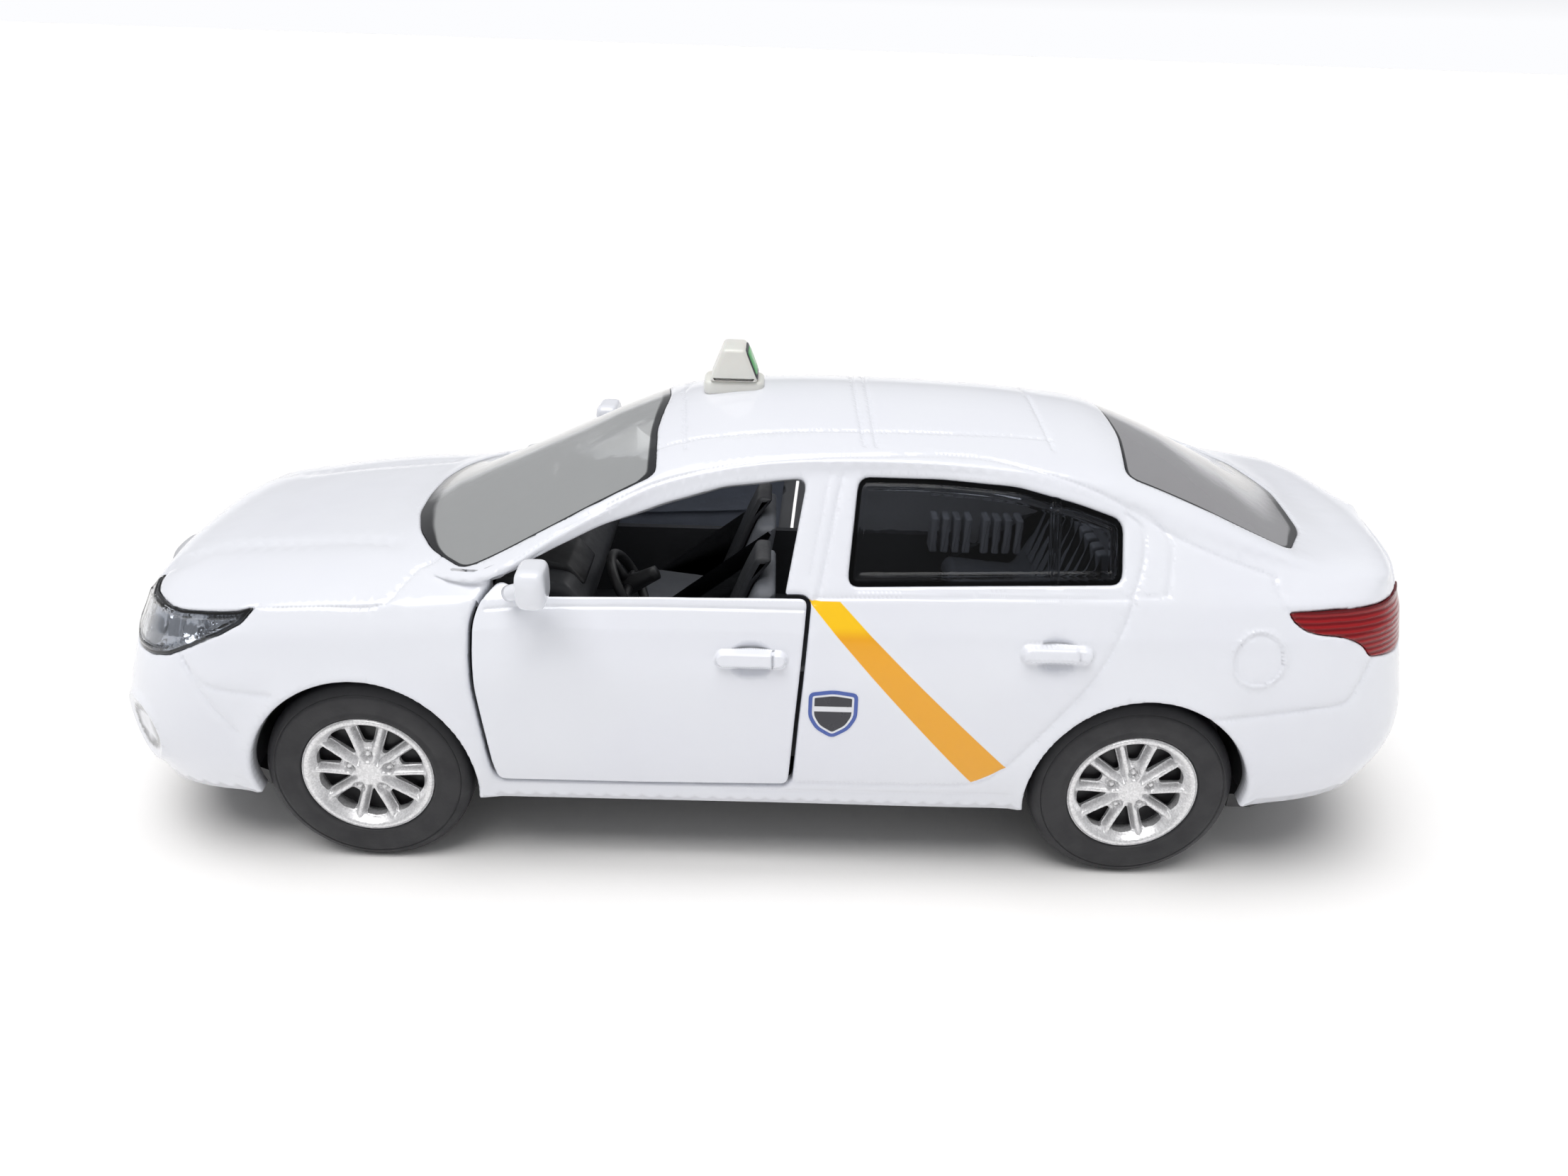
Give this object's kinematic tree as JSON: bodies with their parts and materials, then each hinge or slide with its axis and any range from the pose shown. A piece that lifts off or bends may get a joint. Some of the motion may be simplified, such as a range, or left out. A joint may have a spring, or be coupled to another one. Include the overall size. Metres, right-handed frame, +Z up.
{
  "type": "die-cast toy taxi",
  "caption": "Small die-cast toy four-door taxi saloon with opening front doors, free-rolling wheelsets, clear glazing, a moulded cabin and a roof sign.",
  "frame": {"origin": "on the ground, under the centre of the overall box", "axes": "+X forwards along the car's length, +Y to the car's left, +Z up"},
  "size_m": [0.1264, 0.0524, 0.0454],
  "materials": {
    "white_paint": "gloss",
    "ivory_plastic": "gloss",
    "smoked_clear": "clear, grey tinted",
    "lamp_clear": "clear",
    "lamp_red": "gloss, translucent",
    "plate_white": "satin",
    "silver_plastic": "silver lacquer",
    "black_rubber": "matt",
    "steel": "plain",
    "dark_plastic": "matt",
    "black_plastic": "matt"
  },
  "bodies": {
    "car": {"body_shell": "white_paint", "hinge_pin_left": "steel", "hinge_pin_right": "steel", "chassis_plate": "black_plastic", "cabin_tub": "black_plastic", "front_seat_left": "dark_plastic", "front_seat_right": "dark_plastic", "rear_bench": "dark_plastic", "parcel_shelf": "black_plastic", "dashboard": "black_plastic", "steering_wheel": "black_plastic", "windscreen": "smoked_clear", "rear_window": "smoked_clear", "side_glass_left": "smoked_clear", "side_glass_right": "smoked_clear", "headlamp_left": "lamp_clear", "headlamp_right": "lamp_clear", "tail_lamp_left": "lamp_red", "tail_lamp_right": "lamp_red", "grille": "black_plastic", "plate_front": "plate_white", "plate_rear": "plate_white", "sign_foot": "ivory_plastic", "sign_box": "ivory_plastic", "screw_front": "steel", "screw_rear": "steel"},
    "front_wheels": {"front_axle": "steel", "rim_front_left": "silver_plastic", "rim_front_right": "silver_plastic", "tyre_front_left": "black_rubber", "tyre_front_right": "black_rubber"},
    "rear_wheels": {"rear_axle": "steel", "rim_rear_left": "silver_plastic", "rim_rear_right": "silver_plastic", "tyre_rear_left": "black_rubber", "tyre_rear_right": "black_rubber"},
    "door_left": {"front_door_left": "white_paint", "mirror_left": "ivory_plastic"},
    "door_right": {"front_door_right": "white_paint", "mirror_right": "ivory_plastic"}
  },
  "joints": [
    {"name": "front_axle_spin", "type": "hinge", "parent": "car", "child": "front_wheels", "pos_m": [0.0368, 0, 0.0095], "axis": [0, 1, 0], "continuous": true},
    {"name": "rear_axle_spin", "type": "hinge", "parent": "car", "child": "rear_wheels", "pos_m": [-0.0343, 0, 0.0095], "axis": [0, 1, 0], "continuous": true},
    {"name": "door_left_hinge", "type": "hinge", "parent": "car", "child": "door_left", "pos_m": [0.023, 0.0218, 0.014], "axis": [0, 0, -1], "range_deg": [0, 62]},
    {"name": "door_right_hinge", "type": "hinge", "parent": "car", "child": "door_right", "pos_m": [0.023, -0.0218, 0.014], "axis": [0, 0, 1], "range_deg": [0, 62]}
  ]
}
